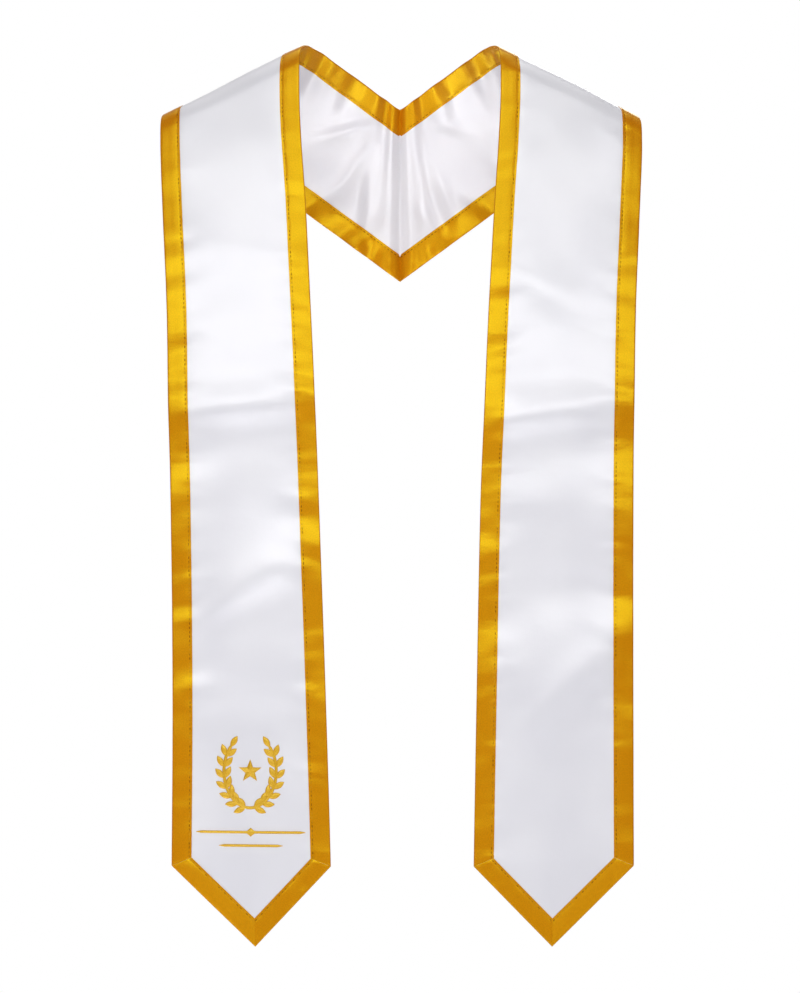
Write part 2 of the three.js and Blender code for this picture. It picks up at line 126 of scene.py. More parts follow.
# The ribbon's section: points round its nose, across its middle and along its border, the power
# that rounds its swell, and how much of MITRE_DIP it keeps at the back seam
NOSE_POINTS = 6
MIDDLE_POINTS = 8
BORDER_POINTS = 7
PUFF_ROUNDNESS = 0.8
SEAM_DIP_SHARE = 0.7

# Where two faces meet more sharply than this, in degrees, their edge stays hard
CLOTH_ANGLE = 40
STITCH_ANGLE = 60
THREAD_ANGLE = 75

# Stitches, and the small puckers that they draw into the cloth
STITCH_PITCH = 3.6 * MM
STITCH_LENGTH = 2.4 * MM
STITCH_WIDTH = 0.8 * MM
STITCH_HEIGHT = 0.5 * MM
STITCH_LIFT = 0.12 * MM
STITCH_INSET = 2 * MM
STITCH_DENT_REACH = 1.2 * MM
STITCH_RINGS = 5
STITCH_SIDES = 6
STITCH_ENDS = 0.97
PUCKER_WAVES = 9
PUCKER_SHORTEST = 9 * MM
PUCKER_LONGEST = 34 * MM
PUCKER_SLOPE = 0.016
PUCKER_REACH = 8 * MM

# The embroidery. A slant is how far a thread runs on for each step across.
THREAD_HEIGHT = 1.1 * MM
THREAD_FOOT = 0.12 * MM
THREAD_PITCH = 0.55 * MM
THREAD_DENT = 0.1 * MM
MOUND_COLUMNS = 9
MOUND_ROUNDNESS = 0.85
MOUND_FADE = 0.6 * MM
WREATH_WIDTH = 43 * MM
WREATH_HEIGHT = 60 * MM
WREATH_RISE = 78 * MM
STEM_WIDTH = 2.6 * MM
STEM_END = 0.15
STEM_BLUNTNESS = 0.1
STEM_ROWS = 300
LINE_SLANT = 0.6
LEAF_LENGTH = 11 * MM
LEAF_WIDTH = 5 * MM
LEAF_STEPS = 7
LEAF_END = 0.01
LEAF_ROWS = 44
LEAF_SLANT = 1
FIRST_LEAF = 0.1
LAST_LEAF = 0.97
LEAF_SPLAY = 36 * DEGREE
STEM_TURN = 140 * DEGREE
STEM_OVERLAP = 5 * DEGREE
STAR_RADIUS = 10 * MM
STAR_POINTS = 5
STAR_WAIST = 0.42
STAR_END = 0.98
STAR_ROWS = 26
STAR_COLUMNS = 6
STAR_ROUNDNESS = 0.7
STAR_FALL = 0.5
RULE_WIDTH = 2.2 * MM
RULE_ROW_LENGTH = 0.22 * MM
RULE_END = 0.2
RULE_LOWEST = 0.3
RULE_RISE = 28 * MM
RULE_MARGIN = 3.5 * MM
SHORT_RULE_RISE = 17 * MM
SHORT_RULE_MARGIN = 22.5 * MM
DIAMOND_WIDTH = 9 * MM
DIAMOND_HEIGHT = 7.5 * MM

# The threads of the satin are 0.1 mm apart, too fine to show, so its lines are drawn this far
# apart across the warp, and as long as this along it.
WARP_LINE = 0.45 * MM
WARP_RUN = 9 * MM

# Seeds of the uneven parts
LEFT_SEED = 11
RIGHT_SEED = 29

# The camera stands 4.5 m before the hanging fronts, at the height of the picture's middle. The
# sensor, in millimetres, is fitted to the picture's height and sees FIELD_HEIGHT of the fronts.
CAMERA_PLACE = (0, -4.557, -0.3748)
CAMERA_DISTANCE = 4.5
CAMERA_REACH = 50
SENSOR = 36
FIELD_HEIGHT = 814.26 * MM

# Soft lights: where each stands, what it looks at, its size, its power in watts, how wide it
# spreads in degrees, and whether it lights the cloth or shows in its shine alone
LIGHTS = (
    ("key", (-1.3, -3.8, 0.9), (0, 0, -0.3), (0.9, 0.9), 6, 180, True),
    ("strip", (0, -4.4, 0.45), (0, 0, -0.3), (7.6, 0.75), 116, 180, True),
    ("shoulder", (0, -3.0, 1.45), (0, 0, -0.1), (2.6, 0.6), 28, 180, True),
    ("crest glint", (0, -2.21, 2.24), (0, 0, -0.1), (2.6, 0.35), 24, 180, False),
    ("top", (0, 0.2, 2.7), (0, 0, 0), (2.6, 1.4), 32, 180, True),
    ("low", (0, -1.0, -1.12), (0, -0.99, 0), (1.8, 0.8), 4, 180, True),
    ("neck", (-0.3, -0.02, -1.0), (0, 0.1, -0.12), (0.2, 0.2), 0.06, 24, True),
    ("left glint", (0.43, -0.5, -1.1), (0, 0.1, -0.1), (0.14, 0.9), 0.48, 60, False),
    ("right glint", (-0.43, -0.5, -1.1), (0, 0.1, -0.1), (0.14, 0.9), 0.48, 60, False),
    ("centre left glint", (0.4, -1.5, -0.95), (0, 0.1, -0.15), (0.3, 0.5), 0.1, 24, False),
    ("centre right glint", (-0.4, -1.5, -0.95), (0, 0.1, -0.15), (0.3, 0.5), 0.1, 24, False),
    ("rear", (0.4, 2.8, 0.9), (0, 0, -0.3), (1.6, 1.6), 30, 180, True),
)

# How brightly the surround lights the object from the front and the sides, and from behind
SURROUND_GLOW = 0.1
SURROUND_BEHIND = 0.9

# The floor, in metres
FLOOR_LEVEL = -1.15
FLOOR_RADIUS = 2.2
FLOOR_SIDES = 96


def table(columns, *rows):
    """A small table with named columns, as one array for each name."""
    return dict(zip(columns.split(), np.array(rows, float).T))


# How steeply the cloth falls in front of the shoulder line, in arcs from row to row: along is a
# share of CHEST_REACH, and fall the angle below level there, in degrees.
CHEST_FALL = table(
    "along fall",
    (0, 0), (0.031, 45), (0.069, 66), (0.1875, 74), (0.406, 80), (0.6875, 87), (1, 90),
)

# The same behind it, as shares of BACK_REACH
BACK_FALL = table(
    "along fall",
    (0, 0), (0.0435, 35), (0.109, 48), (0.261, 54), (0.435, 62), (0.652, 74), (1, 82),
)

# The two edges of a band behind the shoulder: back is the distance behind v = 0, and neck and
# arm are the u of each edge, all as shares of BAND_WIDTH.
BACK_EDGES = table(
    "back neck arm",
    (2, -0.445, 0.537),
    (1.2, -0.444, 0.538),
    (0.8, -0.4565, 0.533),
    (0.4, -0.478, 0.523),
)

# The edges in front: along is a share of FRONT_DROP, neck and arm are shares of BAND_WIDTH.
LEFT_EDGES = table(
    "along neck arm",
    (0, -0.485, 0.51),
    (0.06, -0.505, 0.495),
    (0.15, -0.551, 0.458),
    (0.262, -0.5975, 0.415),
    (0.374, -0.634, 0.395),
    (0.484, -0.6665, 0.3825),
    (0.705, -0.7035, 0.373),
    (0.9, -0.7325, 0.368),
    (1, -0.745, 0.366),
)
RIGHT_EDGES = table(
    "along neck arm",
    (0, -0.485, 0.503),
    (0.06, -0.505, 0.4775),
    (0.15, -0.551, 0.441),
    (0.262, -0.594, 0.397),
    (0.374, -0.631, 0.378),
    (0.484, -0.6625, 0.355),
    (0.705, -0.72, 0.332),
    (0.9, -0.764, 0.331),
    (1, -0.778, 0.331),
)

# Where the middle line of the flat cut meets the shoulder line, from the neck
SHOULDER_MIDDLE = -LEFT_EDGES["neck"][0] * BAND_WIDTH / math.cos(BAND_LEAN)

# Soft folds of the hanging fronts. Most lie where the solids' folds do, and stand higher, as
# FOLD_HEIGHT is 3.6 mm here and 2 mm there. The third fold of each side is shallower here, and the
# long slanting fold low on each front is the scene's own. along is a share of FRONT_DROP, turn is
# in degrees, height is a share of FOLD_HEIGHT, and the rest are shares of BAND_WIDTH.
LEFT_FOLDS = table(
    "along across turn length width height",
    (0.245, -0.25, 35, 0.35, 0.16, 0.45),
    (0.382, -0.12, -7, 0.5, 0.14, 0.8),
    (0.43, -0.05, -4, 0.45, 0.16, -0.2),
    (0.485, -0.32, 8, 0.3, 0.16, 0.35),
    (0.58, -0.1, -20, 0.4, 0.2, -0.35),
    (0.69, -0.07, -45, 0.75, 0.14, 0.45),
)
RIGHT_FOLDS = table(
    "along across turn length width height",
    (0.2, -0.1, -30, 0.35, 0.17, 0.35),
    (0.377, -0.12, 4, 0.5, 0.14, 0.8),
    (0.415, 0.05, 0, 0.4, 0.15, -0.15),
    (0.555, -0.4, -60, 0.35, 0.16, 0.45),
    (0.62, -0.05, 14, 0.4, 0.2, -0.35),
    (0.583, -0.15, 35, 0.7, 0.13, 0.42),
    (0.74, -0.35, -22, 0.4, 0.2, 0.35),
)

# Gathers that fan out from the centre back seam, as in the solids but a little higher: fan is the
# tangent of a gather's angle, and lift its height as a share of GATHER_HEIGHT.
GATHERS = table(
    "fan lift",
    (0, 1), (0.02, -0.1), (0.05, -0.7), (0.1, 0.6), (0.165, -0.45), (0.25, 0.25), (0.36, 0),
)

# Pleats of the back under the point of the neck and beside the neck, as seen from the front, which
# the solids do without: x and z are their middles and turn the angle of their line above level, and
# lift is away from the front, all in millimetres and degrees.
BACK_FOLDS = table(
    "x z turn length width lift",
    (-42, -68, 14, 24, 6, 2),
    (-34, -92, 52, 24, 6, 2),
    (-27, -122, 87, 48, 6, 2.6),
    (-9, -80, 88, 25, 3, -1.3),
    (38, -63, -16, 18, 5, 2),
    (35, -114, -71, 28, 6, 2.6),
    (17, -80, -80, 22, 3.5, -1.5),
    (22, -138, -60, 12, 4, 1.2),
    (-86, -7, 62, 9, 1.8, 1),
    (-79, -8, 70, 8, 1.6, 0.9),
    (86, -6, -55, 9, 1.8, 1),
    (78, -8, -66, 8, 1.6, 0.9),
)

# The creases that folding away left across each front, which the solids do without, with the fold
# table's columns and CREASE_HEIGHT for their height
LEFT_CREASES = table(
    "along across turn length width height",
    (0.392, 0.02, -4, 0.62, 0.3, 0.9),
    (0.245, -0.3, 35, 0.25, 0.1, 0.3),
)
RIGHT_CREASES = table(
    "along across turn length width height",
    (0.384, -0.15, 3, 0.62, 0.3, 0.9),
    (0.3, 0.1, -25, 0.25, 0.1, 0.3),
)

# How the ribbon on each long edge tips up or down along the front: along is a share of
# FRONT_DROP and tilt is in degrees, up above 0
LEFT_NECK_TILTS = table(
    "along tilt",
    (0.05, -1.5), (0.09, 1.5), (0.13, -1.5), (0.2, 1), (0.28, -2), (0.34, 1.5), (0.42, -3.5),
    (0.48, 3), (0.57, -2), (0.63, 3), (0.73, -2.5), (0.8, -3), (0.85, 2.5),
)
LEFT_ARM_TILTS = table(
    "along tilt",
    (0.035, -2), (0.08, 3), (0.13, -3), (0.24, 1), (0.33, -1.5), (0.41, -3), (0.44, 2),
    (0.5, 1.5), (0.57, -3.5), (0.61, 3), (0.72, 2.5), (0.77, -2), (0.87, 5),
)
RIGHT_NECK_TILTS = table(
    "along tilt",
    (0.05, 1), (0.13, -3), (0.19, 3), (0.3, -2), (0.35, 2), (0.41, -3), (0.46, 1.5),
    (0.52, 3), (0.6, -3), (0.68, 2), (0.79, -3), (0.86, 5),
)
RIGHT_ARM_TILTS = table(
    "along tilt",
    (0.035, 5), (0.055, -1), (0.075, 2), (0.14, -3.5), (0.22, 2), (0.3, -1.5), (0.34, 2),
    (0.43, -3), (0.47, 2), (0.58, -2.5), (0.66, 3), (0.78, -2.5), (0.87, 2),
)


def ease(share):
    """Rises smoothly from 0 to 1: 3 t squared less 2 t cubed, with t kept between 0 and 1."""
    t = np.clip(share, 0, 1)
    return t * t * (3 - 2 * t)


def read_table(at, values, place):
    """A smooth curve through rows: a cubic between each two, with the slope at a row that of the
    line between its two neighbours. Outside the rows it keeps the value of the nearest."""
    place = np.clip(place, at[0], at[-1])
    last = len(at) - 1
    index = np.arange(last + 1)
    before = np.maximum(index - 1, 0)
    after = np.minimum(index + 1, last)
    slope = (values[after] - values[before]) / (at[after] - at[before])
    row = np.clip(np.searchsorted(at, place, side="right") - 1, 0, last - 1)
    span = at[row + 1] - at[row]
    t = (place - at[row]) / span
    start = values[row] * (1 + 2 * t) * (1 - t) ** 2
    end = values[row + 1] * (3 - 2 * t) * t**2
    start_slope = slope[row] * span * t * (1 - t) ** 2
    end_slope = slope[row + 1] * span * (t - 1) * t**2
    return start + end + start_slope + end_slope


def follow_arcs(rows, reach, distance):
    """Follows a chain of arcs for a distance: how far that comes level and down, and its angle
    below level there. An arc of length L that bends by b has the chord L sin(b/2) / (b/2)."""
    starts = rows["along"] * reach
    angles = rows["fall"] * DEGREE
    lengths = np.diff(starts, append=np.inf)
    bends = np.diff(angles, append=angles[-1])
    out = np.zeros_like(distance)
    drop = np.zeros_like(distance)
    fall = np.zeros_like(distance)
    for start, angle, whole, turn in zip(starts, angles, lengths, bends):
        length = np.clip(distance - start, 0, whole)
        bend = turn * length / whole
        chord = length * np.sinc(bend / 2 / math.pi)
        out += chord * np.cos(angle + bend / 2)
        drop += chord * np.sin(angle + bend / 2)
        fall = np.where(length > 0, angle + bend, fall)
    return out, drop, fall


def solve(rising, value, low, high):
    """Finds by halving where a rising function of v passes a value, for a whole array of v."""
    for _ in range(HALVINGS):
        middle = (low + high) / 2
        below = rising(middle) < value
        low = np.where(below, middle, low)
        high = np.where(below, high, middle)
    return (low + high) / 2


class Side:
    """One band: where its edges run, how it folds, the seeded waves of its edges, and its hem."""

    def __init__(self, name, sign, tip, edges, folds, creases, neck_tilts, arm_tilts, seed):
        self.name = name
        self.sign = sign
        self.tip_share = tip
        self.folds = folds
        self.creases = creases
        self.at = np.concatenate([-BACK_EDGES["back"] * BAND_WIDTH, edges["along"] * FRONT_DROP])
        self.neck_u = np.concatenate([BACK_EDGES["neck"], edges["neck"]]) * BAND_WIDTH
        self.arm_u = np.concatenate([BACK_EDGES["arm"], edges["arm"]]) * BAND_WIDTH
        self.neck_swells = swell_heights(neck_tilts)
        self.arm_swells = swell_heights(arm_tilts)
        chance = np.random.default_rng(seed)
        self.neck_waves = seeded_waves(chance, EDGE_WAVES, EDGE_WAVE_SHORTEST, EDGE_WAVE_LONGEST)
        self.arm_waves = seeded_waves(chance, EDGE_WAVES, EDGE_WAVE_SHORTEST, EDGE_WAVE_LONGEST)
        self.neck_puckers = seeded_waves(chance, PUCKER_WAVES, PUCKER_SHORTEST, PUCKER_LONGEST)
        self.arm_puckers = seeded_waves(chance, PUCKER_WAVES, PUCKER_SHORTEST, PUCKER_LONGEST)
        self.wander = seeded_waves(chance, WANDER_WAVES, WANDER_SHORTEST, WANDER_LONGEST)
        self.headings = chance.uniform(-WANDER_TURN, WANDER_TURN, WANDER_WAVES) * DEGREE
        self.hem = hem_corners(self)

    def neck(self, v):
        """The u of the edge at the neck."""
        return read_table(self.at, self.neck_u, v)

    def arm(self, v):
        """The u of the edge at the arm."""
        return read_table(self.at, self.arm_u, v)

    def border(self, on_neck):
        """One long edge: its u from v, the way inward, its corner at the hem, and its name."""
        if on_neck:
            return self.neck, 1, self.hem["neck"], "neck"
        return self.arm, -1, self.hem["arm"], "outer"


def seeded_waves(chance, count, shortest, longest):
    """Lengths and phases of waves: lengths evenly spread between two, each moved a little."""
    step = (longest - shortest) / count
    lengths = shortest + step * (np.arange(count) + chance.uniform(0, 1, count))
    return lengths, chance.uniform(0, 2 * math.pi, count)


def wave_sum(waves, place, slope):
    """Adds sine waves, whose places are the last axis of an array. Each is as high as its length
    times the slope over 2 pi."""
    lengths, phases = waves
    turns = 2 * math.pi * place / lengths + phases
    return (np.sin(turns) * lengths).sum(-1) * slope / (2 * math.pi)


def swell_heights(tilts):
    """The heights of an edge that tips as its table says, with their places: the running sum of
    the tilts' tangents, less its own mean over SWELL_WINDOW round each place, so that the edge
    never drifts away."""
    place = np.arange(0, FRONT_DROP, SWELL_STEP)
    tilt = read_table(tilts["along"] * FRONT_DROP, tilts["tilt"] * TILT_SHARE * DEGREE, place)
    height = np.cumsum(np.tan(tilt)) * SWELL_STEP
    window = np.ones(int(SWELL_WINDOW / SWELL_STEP))
    count = np.convolve(np.ones_like(height), window, "same")
    mean = np.convolve(height, window, "same") / count
    return place, (height - mean) * ease(place / SWELL_START)


def on_fold(du, dv, turn, length, width):
    """How far a step from a fold's middle goes along and across it, as shares of its size."""
    on_length = du * math.cos(turn * DEGREE) + dv * math.sin(turn * DEGREE)
    on_width = dv * math.cos(turn * DEGREE) - du * math.sin(turn * DEGREE)
    return on_length / length, on_width / width


def each_fold(rows, u, v):
    """A place's shares along and across each fold of a table, and the fold's height."""
    for along, across, turn, length, width, height in zip(*rows.values()):
        du = u - across * BAND_WIDTH
        dv = v - along * FRONT_DROP
        yield *on_fold(du, dv, turn, length * BAND_WIDTH, width * BAND_WIDTH), height


def fold_lift(side, u, v):
    """The soft folds and sharper creases at a place. A fold is a bell both ways. A crease is a
    bell along its line and a tent across it, with its ridge slightly rounded."""
    total = np.zeros_like(u)
    for along, across, height in each_fold(side.folds, u, v):
        total += height * FOLD_HEIGHT * np.exp(-(along**2) - across**2)
    for along, across, height in each_fold(side.creases, u, v):
        off_ridge = np.sqrt(across**2 + CREASE_ROUNDING**2) - CREASE_ROUNDING
        total += height * CREASE_HEIGHT * np.exp(-(along**2) - off_ridge)
    return total


def gather_lift(x, z):
    """The gathers at a place on the back, read from their table by the angle off the seam, and
    the pleats, each a bell both ways."""
    fan = np.abs(x) / (FAN_RISE * BAND_WIDTH - z)
    total = read_table(GATHERS["fan"], GATHERS["lift"] * GATHER_HEIGHT, fan)
    for middle_x, middle_z, turn, length, width, lift in zip(*BACK_FOLDS.values()):
        dx = x - middle_x * MM
        dz = z - middle_z * MM
        along, across = on_fold(dx, dz, turn, length * MM, width * MM)
        total = total + lift * MM * np.exp(-(along**2) - across**2)
    return total


def before_shoulder(u, v):
    """How far a place is in front of the shoulder line, and below 0 behind it."""
    return v * math.cos(BAND_LEAN) - u * math.sin(BAND_LEAN)


def uneven_lift(side, u, v, x):
    """The waves of sewn satin: swells and puckers along the ribbons, slighter and longer waves
    all over, and none at the back seam."""
    off_shoulder = before_shoulder(u, v)
    wave_slope = np.where(off_shoulder > 0, FRONT_WAVE_SLOPE, BACK_WAVE_SLOPE)
    wave_slope = wave_slope * ease(np.abs(off_shoulder) / WAVE_CALM)
    total = np.zeros_like(u)
    for depth, swells, waves, puckers in (
        (u - side.neck(v), side.neck_swells, side.neck_waves, side.neck_puckers),
        (side.arm(v) - u, side.arm_swells, side.arm_waves, side.arm_puckers),
    ):
        slanted = v + SWELL_SLANT * depth
        swell = np.interp(slanted, *swells) + wave_sum(waves, slanted[..., None], wave_slope)
        beyond = np.maximum(depth - RIBBON_FACE, 0)
        total += swell * np.exp(-((beyond / SWELL_FADE) ** 2))
        off_stitches = np.abs(depth - RIBBON_FACE + STITCH_INSET)
        pucker = wave_sum(puckers, v[..., None], PUCKER_SLOPE)
        total += pucker * np.exp(-off_stitches / PUCKER_REACH)
    ahead = v[..., None] * np.cos(side.headings) + u[..., None] * np.sin(side.headings)
    total += wave_sum(side.wander, ahead, WANDER_SLOPE)
    return total * ease(np.abs(x) / SEAM_CALM)


def drape(side, u, v, lift):
    """Puts places of the flat cut onto the body, lifted off the cloth's middle towards its face.
    The cloth bends round lines that run along the shoulder line, so it keeps its cut size."""
    u, v, lift = np.broadcast_arrays(u, v, lift)
    on_shoulder = SHOULDER_MIDDLE + u * math.cos(BAND_LEAN) + v * math.sin(BAND_LEAN)
    off_shoulder = before_shoulder(u, v)
    front = off_shoulder > 0
    chest = follow_arcs(CHEST_FALL, CHEST_REACH, np.maximum(off_shoulder, 0))
    back = follow_arcs(BACK_FALL, BACK_REACH, np.maximum(-off_shoulder, 0))
    out, drop, fall = (np.where(front, one, other) for one, other in zip(chest, back))
    facing = np.where(front, -1, 1)
    slope_cos = math.cos(SHOULDER_SLOPE)
    slope_sin = math.sin(SHOULDER_SLOPE)
    x = NECK_WIDTH / 2 + on_shoulder * slope_cos - drop * slope_sin
    z = -on_shoulder * slope_sin - drop * slope_cos
    across = (u - side.neck(v)) / BAND_WIDTH
    turn = CHEST_TURN * ease(v / CHEST_REACH) * across * np.abs(across)
    gathers = gather_lift(side.sign * x, z) * ease(-off_shoulder / CREST_CALM)
    relief = np.where(front, fold_lift(side, u, v), gathers)
    rise = lift + relief + uneven_lift(side, u, v, x)
    up = np.cos(fall) * rise
    return np.stack(
        [
            side.sign * (x + up * slope_sin),
            facing * (out + np.sin(fall) * rise) + turn,
            z + up * slope_cos,
        ],
        -1,
    )


def column_lines(side, column):
    """Where columns cross the centre back seam, the shoulder line and the level of the hem's
    corners. column gives the u of an array of columns from an array of v."""
    zero = np.zeros_like(column(np.zeros(1)))
    back_reach = 3 * BAND_WIDTH

    def off_centre(v):
        return side.sign * drape(side, column(v), v, 0)[..., 0]

    def ahead(v):
        return before_shoulder(column(v), v)

    def depth(v):
        return -drape(side, column(v), v, 0)[..., 2]

    return {
        "seam": solve(off_centre, 0, zero - back_reach, zero),
        "shoulder": solve(ahead, 0, zero - BAND_WIDTH, zero + BAND_WIDTH),
        "hem": solve(depth, FRONT_DROP - HEM_POINT, zero + BAND_WIDTH, zero + FRONT_DROP + BAND_WIDTH),
    }


def hem_corners(side):
    """The corners of a hem in the flat cut, and at each the inward step that keeps an equal
    distance from the two edges that meet there: the sum of their normals over 1 + their dot."""
    neck_v = column_lines(side, side.neck)["hem"][0]
    arm_v = column_lines(side, side.arm)["hem"][0]
    neck = np.array([side.neck(neck_v), neck_v])
    arm = np.array([side.arm(arm_v), arm_v])
    tip = neck + (arm - neck) * side.tip_share

    def depth(v):
        return -drape(side, tip[0], v, 0)[..., 2]

    tip[1] = solve(depth, FRONT_DROP, np.array(BAND_WIDTH), np.array(FRONT_DROP + BAND_WIDTH))

    def inward(start, end):
        step = (end - start) / np.linalg.norm(end - start)
        return np.array([step[1], -step[0]])

    def mitre(one, other):
        return (one + other) / (1 + one @ other)

    neck_hem = inward(neck, tip)
    arm_hem = inward(tip, arm)
    return {
        "neck": (neck, mitre(np.array([1, 0]), neck_hem)),
        "tip": (tip, mitre(neck_hem, arm_hem)),
        "arm": (arm, mitre(arm_hem, np.array([-1, 0]))),
    }


def row_shares():
    """Rows along a band: -1 is the centre back seam, 0 the shoulder line and 1 the hem. They
    crowd where the cloth turns over the shoulder, and close to the seam."""
    front = np.linspace(0, 1, FRONT_ROWS) ** CREST_CROWDING
    behind = SEAM_ZONE * np.linspace(0, 1, BACK_ROWS) ** CREST_CROWDING
    seam = 1 - (1 - SEAM_ZONE) * (1 - np.linspace(0, 1, SEAM_ROWS)) ** SEAM_CROWDING
    return np.concatenate([-seam[:0:-1], -behind[:0:-1], front])


def along_at(lines, share):
    """The v of row shares between the three lines of each column."""
    share = share[:, None] if np.ndim(lines["seam"]) == 1 else share
    end = np.where(share < 0, lines["seam"], lines["hem"])
    return lines["shoulder"] + (end - lines["shoulder"]) * np.abs(share)


def close_seam(points):
    """Puts the first row exactly on the middle of the back."""
    points[0, ..., 0] = 0
    return points


def loft_faces(rows, loop):
    """Quads of a closed tube of sections, each end closed by a strip across its section. A
    section's second half goes back beside its first."""
    row = np.arange(rows - 1)[:, None] * loop
    point = np.arange(loop)[None, :]
    after = (point + 1) % loop
    walls = np.stack([row + point, row + after, row + loop + after, row + loop + point], -1)
    near = np.arange(loop // 2 - 1)
    far = loop - 1 - near
    end = (rows - 1) * loop
    first = np.stack([near, far, far - 1, near + 1], -1)
    last = end + np.stack([near, near + 1, far - 1, far], -1)
    return np.concatenate([walls.reshape(-1, 4), first, last])


def make_piece(name, points, cut, material, hard_angle):
    """Makes one object from copies of a closed tube. points has each copy's rows of sections, and
    cut each corner's place in the flat cut, for the weave. A copy whose signed volume, the sum of
    its triangles' triple products, is negative is turned round."""
    copies, rows, loop = points.shape[:3]
    points = points.reshape(copies, -1, 3)
    faces = loft_faces(rows, loop)
    a, b, c, d = (points[:, faces[:, side]] for side in range(4))
    triple = (a * np.cross(b, c)).sum(-1) + (a * np.cross(c, d)).sum(-1)
    turned = triple.sum(-1) < 0
    quads = np.where(turned[:, None, None], faces[None, :, ::-1], faces[None])
    quads = (quads + np.arange(copies)[:, None, None] * rows * loop).reshape(-1, 4)
    mesh = bpy.data.meshes.new(name)
    mesh.from_pydata(points.reshape(-1, 3), [], quads.tolist())
    layer = mesh.uv_layers.new(name="cut")
    layer.data.foreach_set("uv", cut.reshape(-1, 2)[quads.ravel()].astype(np.float32).ravel())
    mesh.polygons.foreach_set("use_smooth", np.ones(len(quads), bool))
    mesh.set_sharp_from_angle(angle=hard_angle * DEGREE)
    mesh.materials.append(material)
    piece = bpy.data.objects.new(name, mesh)
    bpy.context.scene.collection.objects.link(piece)
    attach(piece, "root")
    return piece


def seam_roll(x):
    """The cloth rolls into the centre back seam over its last millimetres."""
    return SEAM_ROLL * np.exp(-np.abs(x) / SEAM_ROLL_REACH)


def panel_cloth(side, material):
    """A satin band as one thin wall. Columns run from under one ribbon to under the other, rows
    from the seam to the hem and on to the tip, and the wall is pinched thin along the ribbons.
    Its roll into the seam dies out there, by the power SEAM_ROLL_FADE of the wall's fullness."""
    share = np.linspace(0, 1, PANEL_COLUMNS)

    def column(v):
        start = side.neck(v) + PANEL_INSET
        return start + (side.arm(v) - PANEL_INSET - start) * share

    lines = column_lines(side, column)
    tip, tip_mitre = side.hem["tip"]
    lines["hem"] = lines["hem"] + side.hem["neck"][1][1] * PANEL_INSET
    v = along_at(lines, row_shares())
    u = column(v)
    towards = np.linspace(0, 1, HEM_ROWS)[1:-1, None]
    goal = tip + tip_mitre * PANEL_INSET
    u = np.concatenate([u, u[-1] + (goal[0] - u[-1]) * towards])
    v = np.concatenate([v, v[-1] + (goal[1] - v[-1]) * towards])
    half = panel_half(side, u, v)
    flat_x = drape(side, u, v, 0)[..., 0]
    fullness = (half * 2 - PINCHED_WALL) / (PANEL_WALL - PINCHED_WALL)
    roll = np.where(v < 0, fullness**SEAM_ROLL_FADE * seam_roll(flat_x), 0)
    face = close_seam(drape(side, u, v, half + roll))
    lining = close_seam(drape(side, u, v, -roll - half))
    points = np.concatenate([face, lining[:, ::-1]], 1)
    cut = np.stack([u, v], -1)
    cut = np.concatenate([cut, cut[:, ::-1]], 1)
    name = f"{side.name}_satin"
    piece = make_piece(name, points[None], cut, material, CLOTH_ANGLE)
    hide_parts(f"{side.name}_panel")
    return piece, flat_size(u, v)


def hem_depth(side, u, v):
    """How far a place is above the nearer half of the hem, square to it."""
    tip = side.hem["tip"][0]
    depths = []
    for corner in (side.hem["neck"][0], side.hem["arm"][0]):
        step = (corner - tip) / np.linalg.norm(corner - tip)
        depths.append(np.abs(step[0]) * (tip[1] - v) + step[1] * np.abs(tip[0] - u))
    return np.where(u < tip[0], *depths)


def panel_half(side, u, v):
    """Half the wall of a band: pinched under the ribbon, and full a little way beyond it."""
    depth = np.minimum(u - side.neck(v), side.arm(v) - u)
    depth = np.minimum(depth, hem_depth(side, u, v))
    full = ease((depth - RIBBON_FACE + STITCH_INSET) / PINCH_REACH)
    return (PINCHED_WALL + (PANEL_WALL - PINCHED_WALL) * full) / 2


def flat_size(u, v):
    """The width, length and area of a grid in the flat cut. A quad's area is half the cross
    product of its diagonals."""
    du = u[1:, 1:] - u[:-1, :-1]
    dv = v[1:, 1:] - v[:-1, :-1]
    eu = u[1:, :-1] - u[:-1, 1:]
    ev = v[1:, :-1] - v[:-1, 1:]
    return float(np.ptp(u)), float(np.ptp(v)), float(np.abs(du * ev - dv * eu).sum() / 2)


